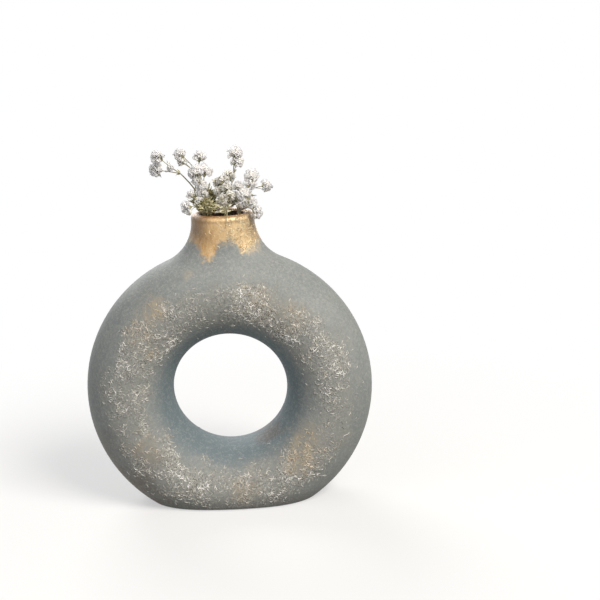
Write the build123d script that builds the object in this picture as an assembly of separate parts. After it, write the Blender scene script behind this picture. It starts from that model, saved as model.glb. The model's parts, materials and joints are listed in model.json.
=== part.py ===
from build123d import *
from math import asin, cos, pi, radians, sin, sqrt, tan
import os

# A donut vase: a hollow ceramic ring with a short neck, and dried baby's-breath standing in it.
# Millimetres, +Z up. The origin is the centre of the foot, on the ground.
# X runs across the ring, and Y runs through its hole.

# Driving sizes of the vase body
ring_outer_radius = 80.0
tube_half_width = 24.0  # half the tube's thickness, measured out from the ring's centre
tube_half_depth = 26.4  # half the tube's thickness, measured from front to back
foot_cut = 15.5  # how much of the ring's bottom the flat foot takes away
neck_rise = 19.5  # how far the mouth stands above the ring's top
neck_radius = 17.2
neck_blend_radius = 24.0
mouth_radius = 12.3
wall = 4.5
lip_outer_round = 2.8
lip_inner_round = 1.9
foot_edge_round = 3.0
foot_recess_inset = 8.0  # from the foot's edge to the recess under it
foot_recess_depth = 1.4
cavity_sides = 16  # the cavity is never seen, so its section is a polygon with this many sides
throat_flare_half_length = 25.0  # the throat widens sideways to this where it opens into the ring
throat_flare_half_depth = 12.8
throat_flare_rise = 4.0  # how far above the ring's top the throat begins to widen
throat_flare_foot_share = 0.7  # how high in the cavity's upper half it ends

# Driving sizes of the sprigs
stem_radius = 0.75
branch_radius = 0.5
stem_circle_at_floor = 8.0  # the stems stand on a circle of this radius on the inner floor
stem_circle_at_mouth = 9.8  # and pass the mouth on this one
stem_floor_gap = 0.45
stem_straight_rise = 3.0  # a stem stays straight this far above the mouth
node_radius = 1.15  # the swelling where a stem forks
node_half_length = 1.4
bloom_radius = 4.0
spray_half_width = 36.0
spray_half_depth = 14.0
spray_height = 34.0

# Sizes that follow from the driving ones
ring_centreline_radius = ring_outer_radius - tube_half_width
ring_centre_height = ring_outer_radius - foot_cut
ring_top_height = ring_centre_height + ring_outer_radius
tube_top_height = ring_centre_height + ring_centreline_radius  # the tube's middle at the ring's top
mouth_height = ring_top_height + neck_rise
foot_half_length = sqrt(ring_outer_radius**2 - ring_centre_height**2)
foot_drop_share = (tube_half_width - foot_cut) / tube_half_width
foot_half_depth = tube_half_depth * sqrt(1 - foot_drop_share**2)
cavity_half_width = tube_half_width - wall
cavity_half_depth = tube_half_depth - wall
cavity_floor_height = foot_recess_depth + wall

# Where each stem stands round the mouth, in degrees from +X towards +Y
stem_degrees = {
    "sprig_far_left": 171,
    "sprig_upper_left": 132,
    "sprig_left": 199,
    "sprig_low_left": 236,
    "sprig_centre": 280,
    "sprig_tall": 69,
    "sprig_right": 14,
    "sprig_low_right": 328,
}

# Where each stem forks: shares of the spray's half width, half depth and height above the mouth
fork_shares = {
    "sprig_far_left": (-0.60, 0.04, 0.63),
    "sprig_upper_left": (-0.35, 0.54, 0.62),
    "sprig_left": (-0.27, -0.29, 0.30),
    "sprig_low_left": (-0.28, -0.75, 0.18),
    "sprig_centre": (0.04, -0.54, 0.20),
    "sprig_tall": (0.19, 0.65, 0.58),
    "sprig_right": (0.38, 0.19, 0.33),
    "sprig_low_right": (0.28, -0.46, 0.17),
}

# Each bloom's centre in the same shares, then its radius as a share of the largest bloom's
bloom_shares = {
    "sprig_far_left": [
        (-0.93, -0.21, 0.93, 0.90),
        (-0.98, 0.07, 0.71, 0.92),
        (-0.75, -0.07, 0.74, 0.45),
    ],
    "sprig_upper_left": [
        (-0.31, 0.50, 0.89, 0.85),
        (-0.62, 0.57, 0.94, 0.85),
        (-0.61, 0.61, 0.80, 0.62),
    ],
    "sprig_left": [
        (-0.37, -0.36, 0.70, 1.00),
        (-0.23, -0.32, 0.70, 0.90),
        (-0.29, -0.39, 0.47, 0.75),
        (-0.30, -0.50, 0.36, 0.62),
    ],
    "sprig_low_left": [
        (-0.45, -0.93, 0.36, 0.50),
        (-0.53, -0.86, 0.13, 0.80),
    ],
    "sprig_centre": [
        (-0.03, -0.18, 0.50, 0.80),
        (0.12, -0.04, 0.60, 0.82),
        (0.08, -0.43, 0.43, 0.75),
        (-0.05, -0.46, 0.38, 0.60),
        (0.01, -0.64, 0.25, 0.80),
    ],
    "sprig_tall": [
        (0.22, 0.64, 0.93, 0.90),
        (0.25, 0.61, 0.79, 0.85),
    ],
    "sprig_right": [
        (0.475, 0.21, 0.58, 0.90),
        (0.455, 0.11, 0.47, 0.85),
        (0.70, 0.07, 0.40, 0.75),
    ],
    "sprig_low_right": [
        (0.255, -0.36, 0.44, 0.70),
        (0.31, -0.57, 0.32, 0.75),
        (0.335, -0.66, 0.17, 0.65),
        (0.47, -0.61, 0.165, 0.75),
        (0.536, -0.71, 0.0, 0.80),
    ],
}

# How a stem arches from the mouth to its fork: how far out and how far up its middle point lies
arch_out_share = 0.35
arch_up_share = 0.55
largest_bend_share = 0.45  # of the shorter run beside a bend

# A bloom from its calyx to its crown: height along its axis and radius, as shares of its radius
petals = 5
petal_gap_share = 0.72  # how far out the gaps between the petals lie
bloom_profile_shares = [(-0.95, 0.25), (-0.45, 0.45), (0.0, 1.0), (0.45, 0.92), (0.88, 0.35)]
branch_into_bloom_share = 0.7
stem_sides = 6  # stems and branches are ribbed, with this many sides


def half_tube_ring(half_width, half_depth, side):
    """One mould half of a ring with an elliptical tube: the half on one side of the middle plane."""
    half_plane = Rectangle(2 * half_width, half_depth, align=(Align.CENTER, side))
    half_section = Ellipse(half_width, half_depth) & half_plane
    return revolve(Plane.XY * Pos(ring_centreline_radius, 0) * half_section, Axis.Y)


def ring(half_width, half_depth):
    """The whole upright ring, its axis along Y, joined along the middle plane."""
    back = half_tube_ring(half_width, half_depth, Align.MIN)
    front = half_tube_ring(half_width, half_depth, Align.MAX)
    return Pos(0, 0, ring_centre_height) * back.fuse(front)


def column(radius):
    """An upright cylinder from the middle of the tube's top up to the mouth."""
    # It is turned so that its seam lies off the ring's middle plane.
    upright = Rot(0, 0, 45) * Cylinder(
        radius, mouth_height - tube_top_height, align=(Align.CENTER, Align.CENTER, Align.MIN)
    )
    return Pos(0, 0, tube_top_height) * upright


def make_outside():
    """The vase as if it were solid: the ring flows up into its neck and is cut flat at its foot."""
    joined = ring(tube_half_width, tube_half_depth) + column(neck_radius)
    plain_kinds = (GeomType.LINE, GeomType.CIRCLE, GeomType.ELLIPSE)
    root_edges = joined.edges().filter_by(lambda edge: edge.geom_type not in plain_kinds)
    flowing = fillet(root_edges, neck_blend_radius)
    standing = split(flowing, Plane.XY, keep=Keep.TOP)
    standing = fillet(standing.edges().filter_by_position(Axis.Z, 0, 0), foot_edge_round)
    lip_edges = standing.edges().filter_by_position(Axis.Z, mouth_height, mouth_height)
    return fillet(lip_edges, lip_outer_round)


def make_inside():
    """The hollow: a ring one wall further in with a flat floor, and the throat that opens into it."""
    corners = []
    for index in range(cavity_sides):
        angle = 2 * pi * (index + 0.5) / cavity_sides
        corners.append((cavity_half_width * cos(angle), cavity_half_depth * sin(angle)))
    section = make_face(Polyline(*corners, close=True))
    hollow_ring = revolve(Plane.XY * Pos(ring_centreline_radius, 0) * section, Axis.Y)
    flare_foot_height = tube_top_height + throat_flare_foot_share * cavity_half_width
    flare_foot = Pos(0, 0, flare_foot_height) * Ellipse(throat_flare_half_length, throat_flare_half_depth)
    flare_top = Pos(0, 0, ring_top_height + throat_flare_rise) * Circle(mouth_radius)
    hollow = Pos(0, 0, ring_centre_height) * hollow_ring + column(mouth_radius)
    hollow += loft([flare_foot, flare_top], ruled=True)
    return split(hollow, Plane.XY.offset(cavity_floor_height), keep=Keep.TOP)


def make_vase_body():
    """The one ceramic casting: ring, neck, lip and foot, hollow all the way round."""
    body = make_outside() - make_inside()
    mouth_edges = body.edges().filter_by_position(Axis.Z, mouth_height, mouth_height)
    body = fillet(mouth_edges.sort_by(lambda edge: edge.length)[0], lip_inner_round)

    # The foot stands on its rim, round a shallow recess.
    recess_outline = Ellipse(foot_half_length - foot_recess_inset, foot_half_depth - foot_recess_inset)
    return body - extrude(recess_outline, foot_recess_depth)


def inner_floor_height(x, y):
    """The height of the vase's inner floor below the mouth: the inside of the wall over the hole."""
    depth_share = y / cavity_half_depth
    side_step = 2 * pi / cavity_sides
    side_angle = side_step * round(asin(depth_share) / side_step)
    across_share = (cos(side_step / 2) - depth_share * sin(side_angle)) / cos(side_angle)
    reach = ring_centreline_radius - cavity_half_width * across_share
    return ring_centre_height + sqrt(reach**2 - x**2)


def in_spray(across_share, depth_share, height_share):
    """A place in the spray, from its shares."""
    return Vector(
        across_share * spray_half_width,
        depth_share * spray_half_depth,
        mouth_height + height_share * spray_height,
    )


def rod(points, radius):
    """A ribbed rod along a run of points, each corner as gently bent as its runs allow."""
    bends = []
    for before, corner, after in zip(points, points[1:], points[2:]):
        half_turn = radians((corner - before).get_angle(after - corner)) / 2
        shorter_run = min((corner - before).length, (after - corner).length)
        bends.append(largest_bend_share * shorter_run / tan(half_turn))
    path = FilletPolyline(*points, radius=bends) if bends else Line(*points)
    return sweep(Plane(path @ 0, z_dir=path % 0) * RegularPolygon(radius, stem_sides), path=path)


def petal_outline(level, radius):
    """A star with a corner at each petal's tip and one in each gap, in a level plane."""
    corners = []
    for index in range(2 * petals):
        reach = radius if index % 2 == 0 else radius * petal_gap_share
        angle = pi * index / petals
        corners.append(level.from_local_coords(Vector(reach * cos(angle), reach * sin(angle), 0)))
    return corners


def make_bloom(centre, axis, radius):
    """One small flower in flat facets: a narrow calyx that opens into a ruffled head of petals."""
    outlines = []
    for height_share, radius_share in bloom_profile_shares:
        level = Plane(centre + axis * (height_share * radius), z_dir=axis)
        outlines.append(petal_outline(level, radius_share * radius))
    faces = [Face(Wire.make_polygon(outlines[0])), Face(Wire.make_polygon(outlines[-1]))]
    for lower, upper in zip(outlines, outlines[1:]):
        for index in range(len(lower)):
            following = (index + 1) % len(lower)
            corners = [lower[index], lower[following], upper[following], upper[index]]
            faces.append(Face(Wire.make_polygon(corners)))
    return Solid(Shell(faces))


def make_node(fork, direction):
    """The swelling at a fork: two cones, base to base, along the stem."""
    cone = Cone(node_radius, 0, node_half_length, align=(Align.CENTER, Align.CENTER, Align.MIN))
    return Plane(fork, z_dir=direction) * cone + Plane(fork, z_dir=-direction) * cone


def stem_point(name, circle_radius, height):
    """Where a sprig's stem passes a height, on a circle round the neck's axis."""
    angle = radians(stem_degrees[name])
    return Vector(circle_radius * cos(angle), circle_radius * sin(angle), height)


def stem_line(name):
    """The straight part of a stem: its lower end, and its direction."""
    foot = stem_point(name, stem_circle_at_floor, 0)
    foot = Vector(foot.X, foot.Y, inner_floor_height(foot.X, foot.Y) + stem_floor_gap)
    at_mouth = stem_point(name, stem_circle_at_mouth, mouth_height)
    return foot, (at_mouth - foot).normalized()


def make_sprig(name):
    """One sprig: a straight stem in the neck that arches to its fork, and a branch for each bloom."""
    foot, direction = stem_line(name)
    leaving = foot + direction * ((mouth_height + stem_straight_rise - foot.Z) / direction.Z)
    fork = in_spray(*fork_shares[name])
    run = fork - leaving
    arch = leaving + Vector(run.X * arch_out_share, run.Y * arch_out_share, run.Z * arch_up_share)
    sprig = rod([foot, leaving, arch, fork], stem_radius)
    sprig += make_node(fork, (fork - arch).normalized())
    for across_share, depth_share, height_share, size_share in bloom_shares[name]:
        centre = in_spray(across_share, depth_share, height_share)
        axis = (centre - fork).normalized()
        radius = size_share * bloom_radius
        tip = centre - axis * (branch_into_bloom_share * radius)
        sprig += rod([fork, tip], branch_radius)
        sprig += make_bloom(centre, axis, radius)
    return sprig


os.makedirs("parts", exist_ok=True)
export_step(make_vase_body(), "parts/vase_body.step")
for sprig_name in stem_degrees:
    export_step(make_sprig(sprig_name), f"parts/{sprig_name}.step")
    stem_foot, stem_direction = stem_line(sprig_name)
    print(sprig_name, "stands at", tuple(stem_foot), "and slides along", tuple(stem_direction))
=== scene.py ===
# %% [markdown]
# # A ring vase with dried baby's-breath
#
# The object is an upright ceramic ring with a short neck: a donut vase. It is painted a matte blue-grey over
# a crinkled, raised texture, rubbed with cream and pale gold, and its neck is brushed with gold. Eight loose
# sprigs of dried baby's-breath stand in it.
#
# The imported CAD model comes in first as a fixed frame. Every piece made here is in metres and in that frame.

# %% Load the frame
import json
import math
import random

import bmesh
import bpy
from mathutils import Matrix, Vector

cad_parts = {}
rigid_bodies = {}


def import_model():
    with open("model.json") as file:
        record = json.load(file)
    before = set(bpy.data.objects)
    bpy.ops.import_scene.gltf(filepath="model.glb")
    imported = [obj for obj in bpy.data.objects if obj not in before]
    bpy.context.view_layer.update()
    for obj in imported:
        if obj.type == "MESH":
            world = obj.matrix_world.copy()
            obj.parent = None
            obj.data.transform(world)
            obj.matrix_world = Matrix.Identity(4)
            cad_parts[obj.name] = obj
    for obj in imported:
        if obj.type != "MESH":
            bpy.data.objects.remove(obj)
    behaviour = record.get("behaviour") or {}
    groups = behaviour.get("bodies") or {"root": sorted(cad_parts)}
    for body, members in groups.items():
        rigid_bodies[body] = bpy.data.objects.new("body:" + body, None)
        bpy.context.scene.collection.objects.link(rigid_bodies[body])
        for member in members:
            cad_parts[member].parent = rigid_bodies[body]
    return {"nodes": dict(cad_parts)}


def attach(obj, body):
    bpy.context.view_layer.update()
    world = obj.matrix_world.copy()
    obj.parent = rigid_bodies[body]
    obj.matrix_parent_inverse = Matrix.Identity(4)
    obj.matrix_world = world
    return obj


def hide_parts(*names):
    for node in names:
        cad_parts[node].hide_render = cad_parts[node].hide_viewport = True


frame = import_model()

scene = bpy.context.scene
bpy.context.view_layer.update()

# %% [markdown]
# ## Camera
#
# The photograph looks at the vase from a little to the right and from above, with a fairly long lens. A
# camera's matrix is three axes and a place: its right, its up, and the direction behind it. Writing them down
# directly keeps the picture's slight roll, which a tracking constraint would lose.

# %% Camera
camera_data = bpy.data.cameras.new("camera")
camera_data.sensor_width = 36.0
camera_data.lens = 63.3
camera = bpy.data.objects.new("camera", camera_data)
scene.collection.objects.link(camera)
camera_right = Vector((0.9989, -0.0367, -0.0293))
camera_back = Vector((-0.0289, -0.9718, 0.2339)).normalized()
camera_up = camera_back.cross(camera_right).normalized()
camera_right = camera_up.cross(camera_back)
camera_place = Vector((0.02376, -0.56994, 0.25038))
turn = Matrix((camera_right, camera_up, camera_back)).transposed()
camera.matrix_world = Matrix.Translation(camera_place) @ turn.to_4x4()
scene.camera = camera
print("camera", round(math.degrees(math.asin(camera_back.z)), 1), "degrees above the horizon")

# %% [markdown]
# ## Colours and nodes
#
# Colours are written as sRGB hex, as a paint chart gives them, and one function turns them into the linear
# values that Blender mixes. One more small function adds any node: it takes the node's settings by name, and
# fills or links its inputs. A range's inputs are its value, the two levels that it comes from and the two that
# it goes to. The rest put together a few nodes that this scene needs again and again. A noise's scale is the
# number of its blobs in a metre, so 100 makes them about 10 mm wide.

# %% Colour and node helpers
SMOOTH = {"interpolation_type": "SMOOTHSTEP"}  # eases both ends of a range


def srgb(code):
    """An sRGB hex colour as linear red, green, blue and alpha."""
    shares = [int(code[i : i + 2], 16) / 255 for i in (1, 3, 5)]
    return tuple(s / 12.92 if s <= 0.04045 else ((s + 0.055) / 1.055) ** 2.4 for s in shares) + (1.0,)


def add(tree, kind, inputs=(), **settings):
    """Adds a node with its settings. Its inputs come by name or number, or as a list in the node's own order,
    and each takes a value, a hex colour, a socket, or a node's first output."""
    node = tree.nodes.new(kind)
    for name, value in settings.items():
        setattr(node, name, value)
    for key, value in inputs.items() if isinstance(inputs, dict) else enumerate(inputs):
        if isinstance(value, bpy.types.Node):
            value = value.outputs[0]
        if isinstance(value, str) and value.startswith("#"):
            value = srgb(value)
        if isinstance(value, bpy.types.NodeSocket):
            tree.links.new(value, node.inputs[key])
        else:
            node.inputs[key].default_value = value
    return node


def empty_tree(owner):
    """The emptied node tree of a material or a world."""
    owner.use_nodes = True
    owner.node_tree.nodes.clear()
    return owner.node_tree


def finish_surface(tree, **inputs):
    """Ends a material with a Principled surface, whose inputs are named with underscores for spaces."""
    inputs = {name.replace("_", " "): value for name, value in inputs.items()}
    add(tree, "ShaderNodeOutputMaterial", {"Surface": add(tree, "ShaderNodeBsdfPrincipled", inputs)})


def product(tree, share, *others):
    """Several shares multiplied together."""
    for other in others:
        share = add(tree, "ShaderNodeMath", [share, other], operation="MULTIPLY")
    return share


def coats(tree, colour, *over):
    """A colour with coats over it in their order, each a colour and the shares that multiply to its amount."""
    for coat, *shares in over:
        # A mix node's two colours are its inputs 6 and 7, and the mixed colour comes out third
        mix = add(tree, "ShaderNodeMix", {0: product(tree, *shares), 6: colour, 7: coat}, data_type="RGBA")
        colour = mix.outputs[2]
    return colour


def off(tree, value, middle):
    """How far a value is from a middle one, on either side."""
    difference = add(tree, "ShaderNodeMath", [value, middle], operation="SUBTRACT")
    return add(tree, "ShaderNodeMath", [difference], operation="ABSOLUTE")


def patches(tree, place, scale, detail, low, high, least=0.0, most=1.0, roughness=0.5, **settings):
    """Patches of noise, one over their scale wide: the least value where the noise is under its low level, the
    most where it is over its high one."""
    noise = add(tree, "ShaderNodeTexNoise", {
        "Vector": place, "Scale": scale, "Detail": detail, "Roughness": roughness})
    return add(tree, "ShaderNodeMapRange", [noise, low, high, least, most], **settings)


print("blue-grey paint is", [round(v, 3) for v in srgb("#7F8482")])

# %% [markdown]
# ## Floor, background and light
#
# The vase stands on a plain pale floor before white. The floor and the world show white to the camera and to
# reflections only, through Light Path, so the white adds no light to the vase. A large soft lamp stands high
# on the right, weak ones in front and at the left, and one behind, so that the back can be seen too. The
# world fills in the rest.

# %% Floor
FLOOR_HALF_WIDTH = 4.0


def rays_of(tree, *kinds):
    """1 for rays of the named kinds and 0 for all others."""
    rays = add(tree, "ShaderNodeLightPath").outputs
    shown = rays[kinds[0]]
    for kind in kinds[1:]:
        shown = add(tree, "ShaderNodeMath", [shown, rays[kind]], operation="MAXIMUM")
    return shown


corners = [(x * FLOOR_HALF_WIDTH, y * FLOOR_HALF_WIDTH, 0) for x, y in [(-1, -1), (1, -1), (1, 1), (-1, 1)]]
floor_mesh = bpy.data.meshes.new("floor")
floor_mesh.from_pydata(corners, [], [(0, 1, 2, 3)])
floor = bpy.data.objects.new("floor", floor_mesh)
scene.collection.objects.link(floor)

floor_paint = bpy.data.materials.new("pale_floor_paint")
tree = empty_tree(floor_paint)
shown = rays_of(tree, "Is Camera Ray", "Is Glossy Ray")
lit_floor = add(tree, "ShaderNodeBsdfDiffuse", {"Color": coats(tree, "#868684", ("#EDEDEB", shown))})
white_floor = add(tree, "ShaderNodeEmission", {"Color": "#FFFFFF", "Strength": 1.0})
here = add(tree, "ShaderNodeTexCoord").outputs["Object"]
away = add(tree, "ShaderNodeVectorMath", [here], operation="LENGTH").outputs["Value"]
whiter = add(tree, "ShaderNodeMapRange", [away, 0.10, 0.34, 0.45, 1.0], **SMOOTH)
floor_mix = add(tree, "ShaderNodeMixShader", [product(tree, shown, whiter), lit_floor, white_floor])
add(tree, "ShaderNodeOutputMaterial", {"Surface": floor_mix})
floor_mesh.materials.append(floor_paint)
print("floor", 2 * FLOOR_HALF_WIDTH, "m wide")

# %% World and lamps
world = bpy.data.worlds.new("white_studio")
scene.world = world
tree = empty_tree(world)
shown = rays_of(tree, "Is Camera Ray", "Is Glossy Ray", "Is Transmission Ray")
fill = add(tree, "ShaderNodeBackground", {"Color": "#F7F7F8", "Strength": 0.17})
white = add(tree, "ShaderNodeBackground", {"Color": "#FFFFFF", "Strength": 1.0})
backdrop = add(tree, "ShaderNodeMixShader", [shown, fill, white])
add(tree, "ShaderNodeOutputWorld", {"Surface": backdrop})


def area_lamp(name, place, target, width, watts, colour):
    """A square soft lamp that faces a target, with its width in metres."""
    data = bpy.data.lights.new(name, "AREA")
    data.size = width
    data.energy = watts
    data.color = srgb(colour)[:3]
    lamp = bpy.data.objects.new(name, data)
    scene.collection.objects.link(lamp)
    lamp.location = place
    lamp.rotation_euler = (Vector(target) - Vector(place)).to_track_quat("-Z", "Y").to_euler()


MID_VASE, UNDER_MOUTH = (0, 0, 0.09), (0, 0, 0.15)
area_lamp("high_lamp", (0.75, -0.75, 1.05), MID_VASE, 0.7, 22.0, "#FFF9F3")
area_lamp("front_lamp", (-0.35, -1.3, 0.45), MID_VASE, 0.9, 3.0, "#F8F9FF")
area_lamp("left_lamp", (-0.85, -0.45, 0.85), UNDER_MOUTH, 0.8, 2.2, "#FBFAFF")
area_lamp("back_lamp", (-0.45, 1.15, 0.75), MID_VASE, 0.9, 13.0, "#FFFFFF")
scene.view_settings.view_transform = "Standard"

# %% [markdown]
# ## The painted ceramic
#
# The vase is slip-cast ceramic. A gritty coat was brushed on the middle of the ring and left to dry in short
# raised crinkles, then the whole was painted matte blue-grey, and cream and gold were rubbed over it, so
# that only the tops of the crinkles took them. The eye sees a chalky surface, smooth at the outer edge and
# in the hole, and rough with pale worm-like strokes along the middle of each face.
#
# All but the largest crinkles can be painted in one procedural material, because its places follow from the
# ring's own shape: how far round the ring a point is, and how far across the tube.

# %% Places on the ring
RING_CENTRE_HEIGHT = 0.0645
RING_CENTRELINE_RADIUS = 0.056
TUBE_HALF_WIDTH = 0.024
MOUTH_HEIGHT = 0.164
BORE_RADIUS = 0.0123


def turn_share(tree, rise, run):
    """The share of a full turn at which a point lies, from the side where the run is negative."""
    angle = add(tree, "ShaderNodeMath", [rise, run], operation="ARCTAN2")
    return add(tree, "ShaderNodeMapRange", [angle, -math.pi, math.pi])


def in_ring_plane(tree, place):
    """A point's x, y and z, its height above the ring's centre, and its way from there without the depth."""
    xyz = add(tree, "ShaderNodeSeparateXYZ", [place]).outputs
    above_centre = add(tree, "ShaderNodeMath", [xyz["Z"], RING_CENTRE_HEIGHT], operation="SUBTRACT")
    return xyz, above_centre, add(tree, "ShaderNodeCombineXYZ", {"X": xyz["X"], "Z": above_centre})


def ring_place(tree, place):
    """A point's x, y and z, how far across the tube it is, from -1 in the hole to 1 outside, and its share of
    the ring's turn."""
    xyz, above_centre, in_plane = in_ring_plane(tree, place)
    from_centre = add(tree, "ShaderNodeVectorMath", [in_plane], operation="LENGTH").outputs["Value"]
    off_line = add(tree, "ShaderNodeMath", [from_centre, RING_CENTRELINE_RADIUS], operation="SUBTRACT")
    across = add(tree, "ShaderNodeMath", [off_line, TUBE_HALF_WIDTH], operation="DIVIDE")
    return xyz, across, turn_share(tree, above_centre, xyz["X"])


def off_neck_axis(tree, xyz):
    """A point's distance from the neck's axis."""
    level = add(tree, "ShaderNodeCombineXYZ", [xyz["X"], xyz["Y"]])
    return add(tree, "ShaderNodeVectorMath", [level], operation="LENGTH").outputs["Value"]


def curve_of(tree, value, spots):
    """A smooth curve through spots of (share, height), read at a value from 0 to 1."""
    node = add(tree, "ShaderNodeFloatCurve", {"Value": value})
    points = node.mapping.curves[0].points
    points[0].location, points[1].location = spots[0], spots[-1]
    for share, level in spots[1:-1]:
        points.new(share, level)
    node.mapping.update()
    return node


print("ring", 2 * (RING_CENTRELINE_RADIUS + TUBE_HALF_WIDTH), "m wide")

# %% [markdown]
# ### The crinkles
#
# A painted crinkle is a short winding line with no direction of its own. The places where a smooth noise
# passes through its middle value form thin winding lines all over a surface, so a narrow band about that
# value draws them, and a second noise cuts the long lines into short pieces. The scale is one over the
# spacing of the lines in metres.

# %% Crinkles
def crinkle_lines(tree, place, spacing, thickness, offset):
    """Short winding lines, 1 on the line and 0 beside it. Thickness is a share of the noise's height."""
    moved = add(tree, "ShaderNodeVectorMath", [place, (offset, offset, offset)], operation="ADD")
    winding = add(tree, "ShaderNodeTexNoise", {
        "Vector": moved, "Scale": 1 / spacing, "Detail": 2.0, "Roughness": 0.55, "Distortion": 0.6})
    line = add(tree, "ShaderNodeMapRange", [off(tree, winding, 0.5), 0.0, thickness, 1.0, 0.0], **SMOOTH)
    return product(tree, line, patches(tree, moved, 0.8 / spacing, 1.0, 0.40, 0.50, **SMOOTH))


print("crinkle lines ready")

# %% [markdown]
# ### Where the crinkles lie
#
# Across the tube they keep near the middle of the face at the ring's two sides, and nearer the hole at its
# top and bottom. Round the ring they are thick in some parts and thin in others. Two curves hold that, from
# nine o'clock through six, three and twelve. Noise in patches 14 to 16 mm wide, about a finger's breadth,
# frays both, so that no edge looks ruled.

# %% Crinkled band
# Share of the turn from nine o'clock downwards, and how thick the cream strokes are there
STROKE_DENSITY = [(0.0, 0.36), (0.04, 0.62), (0.10, 0.90), (0.17, 0.60), (0.24, 0.65), (0.31, 0.60),
                  (0.38, 0.75), (0.44, 0.22), (0.50, 0.40), (0.56, 0.70), (0.66, 1.0), (0.72, 0.75),
                  (0.80, 0.35), (0.87, 0.95), (0.92, 0.85), (1.0, 0.36)]
# The band's middle across the tube by the same turn: 0 is nearest the hole, 0.5 mid-tube, 1 outermost
BAND_MIDDLE = [(0.0, 0.53), (0.12, 0.44), (0.25, 0.32), (0.38, 0.46), (0.50, 0.56), (0.62, 0.48),
               (0.75, 0.37), (0.90, 0.49), (1.0, 0.53)]


def crinkled_share(tree, place):
    """How far a point lies in the crinkled band, and how thickly the crinkles lie there, both from 0 to 1."""
    xyz, across, turned = ring_place(tree, place)
    fray = patches(tree, place, 70.0, 4.0, 0.3, 0.7, least=-0.22, most=0.22, roughness=0.6)
    middle = add(tree, "ShaderNodeMapRange", {
        "Value": curve_of(tree, turned, BAND_MIDDLE), "To Min": -0.5, "To Max": 0.5})
    frayed = add(tree, "ShaderNodeMath", [off(tree, across, middle), fray], operation="ADD")
    band = add(tree, "ShaderNodeMapRange", [frayed, 0.30, 0.66, 1.0, 0.0], **SMOOTH)
    brushed = patches(tree, place, 62.0, 3.0, 0.36, 0.60, least=0.12, most=1.25, roughness=0.6)
    density = product(tree, curve_of(tree, turned, STROKE_DENSITY), brushed)
    return band, add(tree, "ShaderNodeMath", [band, density], operation="MULTIPLY", use_clamp=True)


print("crinkles follow", len(STROKE_DENSITY), "spots of the ring's turn")

# %% [markdown]
# ### Blots
#
# Here and there the rag left more gold, and the kiln and the brush left brownish shadows at a few edges.
# Each is a soft blot round one place on the face, frayed by noise 6 mm wide. The back of the vase gets the
# same blots, because the places are measured with the depth folded to one side.

# %% Blots of gold and umber
# Centre in metres, with the depth folded to one side, then reach in metres and strength
GOLD_BLOTS = [
    ((-0.0395, 0.0241, 0.1170), 0.012, 0.85),
    ((-0.0456, 0.0256, 0.1050), 0.013, 0.35),
    ((0.0198, 0.0262, 0.1203), 0.018, 0.18),
    ((0.0344, 0.0261, 0.1131), 0.016, 0.25),
    ((-0.0405, 0.0252, 0.0930), 0.006, 0.50),
    ((0.0409, 0.0248, 0.0400), 0.014, 0.80),
    ((0.0373, 0.0258, 0.0300), 0.013, 0.70),
    ((-0.0471, 0.0262, 0.0403), 0.012, 0.35),
    ((0.0064, 0.0257, 0.0142), 0.012, 0.30),
    ((-0.0190, 0.0197, 0.1339), 0.005, 0.50),
]
UMBER_BLOTS = [
    ((0.0213, 0.0079, 0.0392), 0.012, 0.60),
    ((-0.0560, 0.0120, 0.0120), 0.028, 0.75),
    ((-0.0480, 0.0220, 0.0290), 0.018, 0.35),
    ((-0.0700, 0.0120, 0.0330), 0.026, 0.35),
    ((0.0161, 0.0061, 0.1633), 0.012, 0.80),
]


def blots(tree, place, spots):
    """The strongest of several soft frayed spots, each full at its centre and gone past its reach."""
    xyz = add(tree, "ShaderNodeSeparateXYZ", [place]).outputs
    depth = add(tree, "ShaderNodeMath", [xyz["Y"]], operation="ABSOLUTE")
    folded = add(tree, "ShaderNodeCombineXYZ", [xyz["X"], depth, xyz["Z"]])
    fray = patches(tree, place, 160.0, 3.0, 0.3, 0.7, least=-0.3, most=0.3)
    strongest = None
    for centre, reach, strength in spots:
        distance = add(tree, "ShaderNodeVectorMath", [folded, centre], operation="DISTANCE")
        share = add(tree, "ShaderNodeMath", [distance.outputs["Value"], reach], operation="DIVIDE")
        frayed = add(tree, "ShaderNodeMath", [share, fray], operation="ADD")
        spot = add(tree, "ShaderNodeMapRange", [frayed, 0.15, 1.0, strength, 0.0], **SMOOTH)
        if strongest:
            spot = add(tree, "ShaderNodeMath", [strongest, spot], operation="MAXIMUM")
        strongest = spot
    return strongest


print("blots", len(GOLD_BLOTS) + len(UMBER_BLOTS))

# %% [markdown]
# ### The gold neck
#
# The gold was brushed down the neck and stops at a ragged line: a finger runs down on the left, the grey
# rises in an arch in the middle, and a broad lobe comes down on the right. A curve gives the line's height
# for each direction round the neck, from the back through the left, the front and the right. Noise 2.4 mm
# wide frays it, like the ends of brush marks.

# %% Gold on the neck
GOLD_DEPTH = 0.030
# Share of the turn, then the line's height as a share of the gold's depth below the mouth
GOLD_LINE = [(0.0, 0.53), (0.11, 0.43), (0.22, 0.53), (0.317, 0.50), (0.356, 0.45), (0.389, 0.32),
             (0.425, 0.21), (0.455, 0.27), (0.482, 0.46), (0.522, 0.53), (0.561, 0.48), (0.583, 0.37),
             (0.606, 0.30), (0.656, 0.35), (0.683, 0.40), (0.722, 0.47), (0.833, 0.40), (0.917, 0.50),
             (1.0, 0.53)]


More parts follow.
